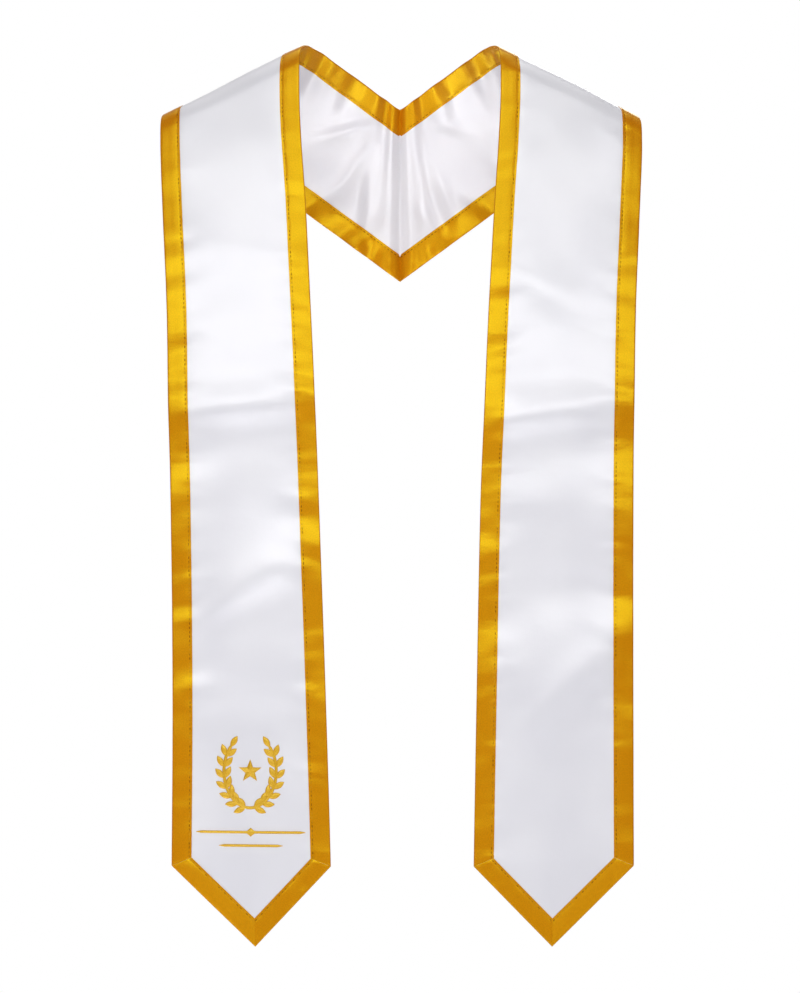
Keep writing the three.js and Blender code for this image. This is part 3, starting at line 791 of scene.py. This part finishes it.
def ribbon_profile():
    """The ribbon seen end on, from its edge on the face, round the fold, to its edge on the
    lining: depths from the band's edge, and lifts off its middle. The outside is a round nose
    and a soft swell up to the stitches, and the inside lies one wall behind it."""

    def half(width):
        border_start = width - 2 * STITCH_INSET
        around = RIBBON_NOSE * (1 - np.cos(np.linspace(0, math.pi / 2, NOSE_POINTS)))
        middle = np.linspace(RIBBON_NOSE, border_start, MIDDLE_POINTS)[1:]
        border = np.linspace(border_start, width, BORDER_POINTS)[1:]
        depth = np.concatenate([around, middle, border])
        nose = np.sqrt(1 - (1 - np.minimum(depth / RIBBON_NOSE, 1)) ** 2)
        to_stitches = np.clip(depth / (width - STITCH_INSET), 0, 1)
        swell = np.sin(math.pi * to_stitches) ** PUFF_ROUNDNESS
        off_stitches = (np.abs(depth - width + STITCH_INSET) / STITCH_DENT_REACH) ** 2
        raised = RIBBON_LIFT * np.clip(off_stitches, 0, 1) * (depth > width / 2)
        return depth, nose * RIBBON_STAND + RIBBON_PUFF * swell + raised

    face_depth, face_lift = half(RIBBON_FACE)
    lining_depth, lining_lift = half(RIBBON_LINING)
    depth = np.concatenate([face_depth[::-1], lining_depth[1:]])
    lift = np.concatenate([face_lift[::-1], -lining_lift[1:]])
    along = np.stack([np.gradient(depth), np.gradient(lift)], -1)
    along /= np.linalg.norm(along, axis=-1, keepdims=True)
    inner_depth = depth - along[:, 1] * RIBBON_WALL
    inner_lift = lift + along[:, 0] * RIBBON_WALL
    run = np.concatenate([[0], np.cumsum(np.hypot(np.diff(depth), np.diff(lift)))])
    return {
        "depth": np.concatenate([depth, inner_depth[::-1]]),
        "lift": np.concatenate([lift, inner_lift[::-1]]),
        "run": np.concatenate([run, run[::-1]]),
    }


def mitre_dip(distance):
    """How far ribbon sinks beside a mitre or a crease."""
    return MITRE_DIP * np.exp(-np.abs(distance) / MITRE_REACH)


def finish_ribbon(side, kind, u, v, profile, along, dip, material):
    """Makes a ribbon from rows of sections in the flat cut, sunk by dip towards the cloth."""
    lift = profile["lift"][None, :] * (1 - dip / (PANEL_WALL + RIBBON_WALL))
    points = drape(side, u, v, lift)
    if kind != "hem":
        points = close_seam(points)
    cut = np.stack(np.broadcast_arrays(profile["run"][None, :], along), -1)
    name = f"{side.name}_{kind}_ribbon"
    node = f"{side.name}_{kind}_trim"
    piece = make_piece(name, points[None], cut, material, CLOTH_ANGLE)
    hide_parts(node)
    return piece


def side_ribbon(side, on_neck, material):
    """The ribbon on a long edge, from the centre back to its mitre at the hem's corner."""
    profile = ribbon_profile()
    depth = profile["depth"]
    edge, inward, (corner, mitre), kind = side.border(on_neck)

    def column(v):
        return edge(v) + inward * depth

    lines = column_lines(side, column)
    lines["hem"] = corner[1] + mitre[1] * depth - MITRE_GAP / 2
    v = along_at(lines, row_shares())
    dip = mitre_dip(lines["hem"] - v) + SEAM_DIP_SHARE * mitre_dip(v - lines["seam"])
    return finish_ribbon(side, kind, column(v), v, profile, v, dip, material)


def hem_ribbon(side, material):
    """The ribbon along a pointed hem. Its rows go straight from one mitre line to the next, from
    the neck corner to the tip and on to the arm corner, and it is creased at the tip."""
    profile = ribbon_profile()
    depth = profile["depth"]
    (neck, neck_mitre), (tip, tip_mitre), (arm, arm_mitre) = side.hem.values()
    share = (1 - np.cos(np.linspace(0, math.pi, HEM_RIBBON_ROWS))) / 2
    share = share[:, None, None]
    step = (tip - neck) / np.linalg.norm(tip - neck) * MITRE_GAP / 2
    first = neck + step + neck_mitre * depth[:, None]
    middle = tip + tip_mitre * depth[:, None]
    step = (tip - arm) / np.linalg.norm(tip - arm) * MITRE_GAP / 2
    last = arm + step + arm_mitre * depth[:, None]
    place = np.concatenate([first + (middle - first) * share, middle + (last - middle) * share[1:]])
    gap = np.linalg.norm(np.diff(place, axis=0), axis=-1)
    along = np.concatenate([np.zeros((1, gap.shape[1])), np.cumsum(gap, 0)])
    to_tip = along - along[HEM_RIBBON_ROWS - 1]
    dip = mitre_dip(along) + mitre_dip(along[-1] - along) + mitre_dip(to_tip)
    return finish_ribbon(side, "hem", place[..., 0], place[..., 1], profile, along, dip, material)


def stitch_row(side, kind, place, heading, on_face, material):
    """A row of stitches, each a small spindle of thread. place has the stitches' middles in the
    flat cut, and heading the unit direction of each. A spindle's radius at a share t of half its
    length is the square root of 1 less the cube of STITCH_ENDS t."""
    rings = np.linspace(-1, 1, STITCH_RINGS)
    turns = np.arange(STITCH_SIDES) * 2 * math.pi / STITCH_SIDES
    radius = np.sqrt(1 - (STITCH_ENDS * np.abs(rings)) ** 3)[:, None]
    along = rings[:, None] * STITCH_LENGTH / 2
    across = radius * np.cos(turns) * STITCH_WIDTH / 2
    rise = radius * np.sin(turns) * STITCH_HEIGHT / 2
    lift = (1 if on_face else -1) * (RIBBON_STAND + STITCH_LIFT + rise)
    middle_u, middle_v = place.T[..., None, None]
    ahead_u, ahead_v = heading.T[..., None, None]
    u = middle_u + ahead_u * along - ahead_v * across
    v = middle_v + ahead_v * along + ahead_u * across
    points = drape(side, u, v, lift)
    cut = np.stack([u, v], -1)
    layer = "face" if on_face else "lining"
    name = f"{side.name}_{kind}_{layer}_stitches"
    return make_piece(name, points, cut, material, STITCH_ANGLE)


def evenly(start, end, pitch):
    """Places from start to end, one pitch apart as nearly as they fit, half a pitch off each."""
    count = max(int(round((end - start) / pitch)), 1)
    return start + (end - start) * (np.arange(count) + 0.5) / count


def stitch_depth(on_face):
    """How far in from the edge the stitches run, on the face or on the lining."""
    return (RIBBON_FACE if on_face else RIBBON_LINING) - STITCH_INSET


def side_stitches(side, on_neck, on_face, material):
    """The stitches along a long ribbon, on one face of the band."""
    depth = stitch_depth(on_face)
    edge, inward, (corner, mitre), kind = side.border(on_neck)
    lines = column_lines(side, lambda v: edge(v) + inward * depth)
    v = evenly(lines["seam"][0], corner[1] + mitre[1] * depth, STITCH_PITCH)
    u = edge(v) + inward * depth
    heading = np.stack([np.gradient(u, v), np.ones_like(v)], -1)
    heading /= np.linalg.norm(heading, axis=-1, keepdims=True)
    return stitch_row(side, kind, np.stack([u, v], -1), heading, on_face, material)


def hem_stitches(side, on_face, material):
    """The stitches along the two halves of a hem's ribbon."""
    depth = stitch_depth(on_face)
    neck, tip, arm = (corner + mitre * depth for corner, mitre in side.hem.values())
    places = []
    headings = []
    for start, end in ((neck, tip), (tip, arm)):
        length = np.linalg.norm(end - start)
        share = evenly(0, length, STITCH_PITCH) / length
        places.append(start + (end - start) * share[:, None])
        headings.append(np.tile((end - start) / length, (len(share), 1)))
    place = np.concatenate(places)
    heading = np.concatenate(headings)
    return stitch_row(side, "hem", place, heading, on_face, material)


def embroider(name, side, copies, rise, material, node):
    """Lays satin stitch on a band, in the middle of its width. Each copy of the body has the x, y
    and z of its rows of sections; y is up the band, and rise is the height of its origin above
    the hem's corners."""
    x, y, z = (np.array(part) for part in zip(*copies))
    middle_v = above_hem(side, rise)
    middle_u = (side.neck(middle_v) + side.arm(middle_v)) / 2
    u = middle_u + x
    v = middle_v - y
    points = drape(side, u, v, PANEL_WALL / 2 + z)
    cut = np.stack([u, v], -1)
    piece = make_piece(name, points, cut, material, THREAD_ANGLE)
    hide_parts(node)
    return piece


def above_hem(side, rise):
    """The v of a height above the hem's corners."""
    return (side.hem["neck"][0][1] + side.hem["arm"][0][1]) / 2 - rise


def thread_groove(distance):
    """A cosine groove between each two threads: 0 on a thread and 1 midway to the next."""
    return (1 - np.cos(2 * math.pi * distance / THREAD_PITCH)) / 2


def mound(half_width, along, height, slant):
    """A mound of satin stitch from its half width at each row: its offset across and its height.
    The section is a half oval over a flat foot, and the threads cross it as fine slanted
    ridges."""
    t = -np.cos(np.linspace(0, math.pi, MOUND_COLUMNS))
    top = np.sqrt(np.maximum(1 - t**2, 0)) ** MOUND_ROUNDNESS
    across = half_width[..., None] * t
    groove = thread_groove(along[..., None] + slant * np.abs(across))
    fade = np.clip(half_width[..., None] / MOUND_FADE, 0, 1)
    rise = fade * (height[..., None] * top - THREAD_DENT * groove * top)
    foot = np.full_like(rise, -THREAD_FOOT)
    offset = np.concatenate([across, across[..., ::-1]], -1)
    return offset, np.concatenate([rise, foot], -1)


def stem_angle(hand, share):
    """The angle that a stem has reached on the oval at a share of its turn. It starts by
    STEM_OVERLAP on the other stem's side of the lowest point."""
    return -math.pi / 2 + hand * (STEM_TURN * share - STEM_OVERLAP)


def wreath(side, material):
    """Two stems on an oval with pairs of leaves. A leaf's half width at a share s of its length
    is 2 s (1 - s) times the leaf width."""
    wide = WREATH_WIDTH / 2
    high = WREATH_HEIGHT / 2
    s = np.linspace(LEAF_END, 1 - LEAF_END, LEAF_ROWS)
    ahead = s[:, None] * LEAF_LENGTH
    half = 2 * s * (1 - s) * LEAF_WIDTH
    height = THREAD_HEIGHT * np.sqrt(np.sin(math.pi * s))
    offset, rise = mound(half, s * LEAF_LENGTH, height, LEAF_SLANT)
    share = FIRST_LEAF + (LAST_LEAF - FIRST_LEAF) * np.arange(LEAF_STEPS + 1) / LEAF_STEPS
    copies = []
    for hand in (1, -1):
        for step, angle in enumerate(stem_angle(hand, share)):
            onward = math.atan2(high * math.cos(angle), -wide * math.sin(angle))
            onward += math.pi if hand < 0 else 0
            for splay in (0,) if step == LEAF_STEPS else (LEAF_SPLAY, -LEAF_SPLAY):
                turn = onward + splay
                x = wide * math.cos(angle) + ahead * math.cos(turn) - offset * math.sin(turn)
                y = high * math.sin(angle) + ahead * math.sin(turn) + offset * math.cos(turn)
                copies.append((x, y, rise))
    leaves = embroider("wreath_leaves", side, copies, WREATH_RISE, material, "emblem_wreath")
    angle = np.stack([stem_angle(hand, np.linspace(0, 1, STEM_ROWS)) for hand in (1, -1)])
    run = np.hypot(np.gradient(wide * np.cos(angle), axis=1), np.gradient(high * np.sin(angle), axis=1))
    along = np.cumsum(run, 1)
    ends = np.minimum(along, along[:, -1:] - along) / STEM_WIDTH
    half = STEM_WIDTH / 2 * (STEM_END + (1 - STEM_END) * np.sqrt(ease(ends + STEM_BLUNTNESS)))
    offset, rise = mound(half, along, np.full_like(half, THREAD_HEIGHT), LINE_SLANT)
    heading = np.arctan2(high * np.cos(angle), -wide * np.sin(angle))[..., None]
    x = wide * np.cos(angle)[..., None] - offset * np.sin(heading)
    y = high * np.sin(angle)[..., None] + offset * np.cos(heading)
    copies = zip(x, y, rise)
    stems = embroider("wreath_stems", side, copies, WREATH_RISE, material, "emblem_wreath")
    return [leaves, stems]


def star(side, material):
    """Each arm of the star runs from the middle to its point, between two waists. Its height
    falls from the spine to the sides by a power of 1 less the share of the way across, and
    towards the point with the cube of the share of the way there."""
    s = np.linspace(0, STAR_END, STAR_ROWS)[:, None]
    t = np.concatenate([np.linspace(-1, 0, STAR_COLUMNS), np.linspace(0, 1, STAR_COLUMNS)[1:]])
    shape = (1 - np.abs(t)) ** STAR_ROUNDNESS * (1 - STAR_FALL * s**3)
    foot = np.full_like(shape, -THREAD_FOOT)
    copies = []
    for arm in range(STAR_POINTS):
        spine = math.pi / 2 + 2 * math.pi * arm / STAR_POINTS
        point = STAR_RADIUS * np.array([math.cos(spine), math.sin(spine)])
        waists = [spine + hand * math.pi / STAR_POINTS for hand in (-1, 1)]
        low, high = (
            STAR_RADIUS * STAR_WAIST * np.array([math.cos(waist), math.sin(waist)])
            for waist in waists
        )
        side_point = np.where((t < 0)[:, None], low, high)
        border = side_point + (point - side_point) * s[..., None]
        middle = point * s[..., None]
        place = middle + (border - middle) * np.abs(t)[:, None]
        rise = shape * (THREAD_HEIGHT - THREAD_DENT * thread_groove(place @ point / STAR_RADIUS))
        x, y = np.moveaxis(np.concatenate([place, place[:, ::-1]], 1), -1, 0)
        copies.append((x, y, np.concatenate([rise, foot], 1)))
    return embroider("star_embroidery", side, copies, WREATH_RISE, material, "emblem_star")


def rule(name, side, margin, rise, diamond, material):
    """A line of satin stitch across the band, with narrow ends and, where diamond is above 0,
    a diamond in its middle."""
    v = above_hem(side, rise)
    length = side.arm(v) - side.neck(v) - 2 * RIBBON_FACE - 2 * margin
    x = np.linspace(-length / 2, length / 2, int(length / RULE_ROW_LENGTH))
    ends = (length / 2 - np.abs(x)) / (2 * RULE_WIDTH)
    half = RULE_WIDTH / 2 * (RULE_END + (1 - RULE_END) * np.clip(ends, 0, 1))
    if diamond > 0:
        half = np.maximum(half, DIAMOND_HEIGHT / 2 * (1 - np.abs(x) / (diamond / 2)))
    height = THREAD_HEIGHT * np.clip(half / (RULE_WIDTH / 2), RULE_LOWEST, 1)
    offset, lift = mound(half, x, height, LINE_SLANT)
    copies = [(np.broadcast_to(x[:, None], offset.shape), offset, lift)]
    return embroider(f"{name}_embroidery", side, copies, rise, material, f"emblem_{name}")


def linear(colour):
    """Turns an sRGB hex colour to linear: a channel c is c / 12.92 up to 0.04045, and above it
    (c + 0.055) / 1.055 to the power 2.4."""
    channels = np.array([int(colour[at : at + 2], 16) for at in (1, 3, 5)]) / 255
    low = channels / 12.92
    high = ((channels + 0.055) / 1.055) ** 2.4
    return (*np.where(channels <= 0.04045, low, high), 1)


def add(tree, kind, inputs=None, **settings):
    """Adds a node with its settings, and its inputs by name or number: a value, or the output
    of another node."""
    node = tree.nodes.new(kind)
    for name, value in settings.items():
        setattr(node, name, value)
    for name, value in (inputs or {}).items():
        if isinstance(value, bpy.types.NodeSocket):
            tree.links.new(value, node.inputs[name])
        else:
            node.inputs[name].default_value = value
    return node


def new_material(name):
    """A material with an empty node tree."""
    material = bpy.data.materials.new(name)
    material.use_nodes = True
    material.node_tree.nodes.clear()
    return material, material.node_tree


def cut_pattern(tree, across, along, detail, seed):
    """Noise in the flat cut, with one size across the warp and one along it, in metres. The seed
    moves it aside, so that no two patterns are alike."""
    place = add(tree, "ShaderNodeUVMap", uv_map="cut").outputs["UV"]
    scale = (1 / across, 1 / along, 1)
    inputs = {"Vector": place, "Location": (seed, seed, 0), "Scale": scale}
    sized = add(tree, "ShaderNodeMapping", inputs).outputs["Vector"]
    inputs = {"Vector": sized, "Scale": 1, "Detail": detail}
    return add(tree, "ShaderNodeTexNoise", inputs, noise_dimensions="2D").outputs["Fac"]


def blend_colours(tree, share, low, high, start=0.35, end=0.65):
    """A colour between two, by a share that rises from start to end."""
    ramp = add(tree, "ShaderNodeValToRGB", {"Fac": share})
    ramp.color_ramp.elements[0].position = start
    ramp.color_ramp.elements[0].color = linear(low)
    ramp.color_ramp.elements[1].position = end
    ramp.color_ramp.elements[1].color = linear(high)
    return ramp.outputs["Color"]


def between(tree, share, low, high):
    """A value between two, by a share."""
    inputs = {"Value": share, "To Min": low, "To Max": high}
    return add(tree, "ShaderNodeMapRange", inputs).outputs["Result"]


def bumped(tree, *heights):
    """One bump on another, from pairs of a pattern and its height in metres."""
    normal = None
    for pattern, height in heights:
        inputs = {"Height": pattern, "Distance": height, "Strength": 1}
        if normal is not None:
            inputs["Normal"] = normal
        normal = add(tree, "ShaderNodeBump", inputs).outputs["Normal"]
    return normal


def cloth_surface(tree, colour, roughness, normal, fixed):
    """The shader of a woven cloth whose shine is stretched across its warp. fixed has the
    values that are the same all over, set on the shader's own sockets."""
    tangent = add(tree, "ShaderNodeTangent", direction_type="UV_MAP", uv_map="cut")
    varied = {
        "Base Color": colour,
        "Roughness": roughness,
        "Normal": normal,
        "Tangent": tangent.outputs["Tangent"],
    }
    shader = add(tree, "ShaderNodeBsdfPrincipled", varied | fixed)
    add(tree, "ShaderNodeOutputMaterial", {"Surface": shader.outputs["BSDF"]})


def white_polyester_satin():
    """Polyester satin, woven with long floats: a soft broad shine that follows the folds, with a
    trace of lavender in the shade."""
    material, tree = new_material("white_polyester_satin")
    patches = cut_pattern(tree, across=60 * MM, along=90 * MM, detail=1, seed=3.7)
    lines = cut_pattern(tree, across=WARP_LINE, along=WARP_RUN, detail=1, seed=8.1)
    creases = cut_pattern(tree, across=9 * MM, along=6 * MM, detail=2, seed=1.3)
    colour = blend_colours(tree, patches, "#dad9de", "#dfdee2")
    roughness = between(tree, patches, 0.32, 0.36)
    normal = bumped(tree, (creases, 0.05 * MM), (lines, 0.02 * MM))
    fixed = {
        "IOR": 1.8,
        "Specular IOR Level": 0.68,
        "Anisotropic": 0.3,
        "Sheen Weight": 0.08,
        "Sheen Roughness": 0.4,
    }
    cloth_surface(tree, colour, roughness, normal, fixed)
    return material


def gold_polyester_ribbon():
    """Gold satin ribbon, folded as a binding: its dyed floats tint the shine, which gathers in
    bright bands across the ribbon wherever it tips towards the light."""
    material, tree = new_material("gold_polyester_ribbon")
    grain = cut_pattern(tree, across=0.9 * MM, along=1.2 * MM, detail=2, seed=5.2)
    lines = cut_pattern(tree, across=WARP_LINE, along=WARP_RUN, detail=1, seed=2.4)
    creases = cut_pattern(tree, across=14 * MM, along=7 * MM, detail=2, seed=6.6)
    colour = blend_colours(tree, grain, "#b46001", "#c87002", start=0.3, end=0.7)
    roughness = between(tree, grain, 0.3, 0.35)
    normal = bumped(tree, (creases, 0.11 * MM), (lines, 0.02 * MM))
    fixed = {
        "IOR": 1.8,
        "Specular IOR Level": 1,
        "Specular Tint": linear("#fff42e"),
        "Anisotropic": 0.3,
    }
    cloth_surface(tree, colour, roughness, normal, fixed)
    return material


def rayon_thread():
    """Embroidery rayon, twisted from bright filaments: a clear yellow shine on every thread, and
    deeper and paler gold in fine patches."""
    material, tree = new_material("rayon_embroidery_thread")
    patches = cut_pattern(tree, across=0.5 * MM, along=0.5 * MM, detail=1, seed=4.4)
    colour = blend_colours(tree, patches, "#b8820e", "#e2b02a")
    roughness = between(tree, patches, 0.26, 0.34)
    normal = bumped(tree, (patches, 0.03 * MM))
    fixed = {"IOR": 1.6, "Specular IOR Level": 1, "Specular Tint": linear("#fff080")}
    cloth_surface(tree, colour, roughness, normal, fixed)
    return material


def sewing_thread():
    """Polyester sewing thread, spun from short fibres: duller than the ribbon, and deep orange
    in some stretches and pale in others."""
    material, tree = new_material("spun_polyester_thread")
    patches = cut_pattern(tree, across=3 * MM, along=9 * MM, detail=1, seed=7.7)
    colour = blend_colours(tree, patches, "#8c5204", "#cc921c")
    roughness = between(tree, patches, 0.5, 0.6)
    normal = bumped(tree, (patches, 0.05 * MM))
    fixed = {"Specular IOR Level": 0.2, "Specular Tint": linear("#ffd060")}
    cloth_surface(tree, colour, roughness, normal, fixed)
    return material


def make_camera():
    """A long lens, level and straight on."""
    data = bpy.data.cameras.new("camera")
    data.sensor_width = SENSOR
    data.lens = SENSOR * CAMERA_DISTANCE / FIELD_HEIGHT
    data.clip_end = CAMERA_REACH
    camera = bpy.data.objects.new("camera", data)
    camera.location = CAMERA_PLACE
    camera.rotation_euler = (math.pi / 2, 0, 0)
    bpy.context.scene.collection.objects.link(camera)
    bpy.context.scene.camera = camera


def make_lights():
    """Area lights round the object, each turned to what it looks at and none seen itself."""
    for name, place, aim, size, power, spread, lights_cloth in LIGHTS:
        data = bpy.data.lights.new(name, "AREA")
        data.shape = "RECTANGLE"
        data.size, data.size_y = size
        data.energy = power
        data.spread = spread * DEGREE
        light = bpy.data.objects.new(name, data)
        light.location = place
        light.visible_camera = False
        light.visible_diffuse = lights_cloth
        x, y, z = np.array(aim) - np.array(place)
        light.rotation_euler = (math.atan2(math.hypot(x, y), -z), 0, math.atan2(-x, y))
        bpy.context.scene.collection.objects.link(light)


def make_surround():
    """The surround is plain white to the eye, and lights the object with a dimmer glow, which
    grows towards straight behind it."""
    world = bpy.data.worlds.new("surround")
    world.use_nodes = True
    tree = world.node_tree
    tree.nodes.clear()
    seen = add(tree, "ShaderNodeLightPath").outputs["Is Camera Ray"]
    heading = add(tree, "ShaderNodeTexCoord").outputs["Generated"]
    behind = add(tree, "ShaderNodeSeparateXYZ", {"Vector": heading}).outputs["Y"]
    strength = between(tree, behind, SURROUND_GLOW, SURROUND_BEHIND)
    glow = add(tree, "ShaderNodeBackground", {"Color": linear("#fbfaff"), "Strength": strength})
    plain = add(tree, "ShaderNodeBackground", {"Color": (1, 1, 1, 1), "Strength": 1})
    inputs = {0: seen, 1: glow.outputs["Background"], 2: plain.outputs["Background"]}
    mixed = add(tree, "ShaderNodeMixShader", inputs)
    add(tree, "ShaderNodeOutputWorld", {"Surface": mixed.outputs["Shader"]})
    bpy.context.scene.world = world


def make_floor():
    """A plain pale round floor, well under the hems."""
    material, tree = new_material("pale_painted_floor")
    inputs = {"Base Color": linear("#e2e3ec"), "Roughness": 0.8}
    shader = add(tree, "ShaderNodeBsdfPrincipled", inputs)
    add(tree, "ShaderNodeOutputMaterial", {"Surface": shader.outputs["BSDF"]})
    turns = np.linspace(0, 2 * math.pi, FLOOR_SIDES, endpoint=False)
    level = np.full(FLOOR_SIDES, FLOOR_LEVEL)
    rim = np.stack([FLOOR_RADIUS * np.cos(turns), FLOOR_RADIUS * np.sin(turns), level], -1)
    mesh = bpy.data.meshes.new("floor")
    mesh.from_pydata(rim, [], [list(range(FLOOR_SIDES))])
    mesh.materials.append(material)
    floor = bpy.data.objects.new("floor", mesh)
    bpy.context.scene.collection.objects.link(floor)


def main():
    satin = white_polyester_satin()
    ribbon = gold_polyester_ribbon()
    thread = rayon_thread()
    sewing = sewing_thread()
    sides = (
        Side(
            "left", 1, LEFT_TIP, LEFT_EDGES, LEFT_FOLDS, LEFT_CREASES, LEFT_NECK_TILTS,
            LEFT_ARM_TILTS, LEFT_SEED,
        ),
        Side(
            "right", -1, RIGHT_TIP, RIGHT_EDGES, RIGHT_FOLDS, RIGHT_CREASES, RIGHT_NECK_TILTS,
            RIGHT_ARM_TILTS, RIGHT_SEED,
        ),
    )
    for side in sides:
        cloth, (width, length, area) = panel_cloth(side, satin)
        on_it = [
            side_ribbon(side, True, ribbon),
            side_ribbon(side, False, ribbon),
            hem_ribbon(side, ribbon),
        ]
        for on_face in (True, False):
            on_it.append(side_stitches(side, True, on_face, sewing))
            on_it.append(side_stitches(side, False, on_face, sewing))
            on_it.append(hem_stitches(side, on_face, sewing))
        if side.name == "right":
            on_it += wreath(side, thread)
            on_it.append(star(side, thread))
            on_it.append(rule("rule", side, RULE_MARGIN, RULE_RISE, DIAMOND_WIDTH, thread))
            on_it.append(rule("short_rule", side, SHORT_RULE_MARGIN, SHORT_RULE_RISE, 0, thread))
    make_camera()
    make_lights()
    make_surround()
    make_floor()
    bpy.context.scene.view_settings.view_transform = "Standard"


main()
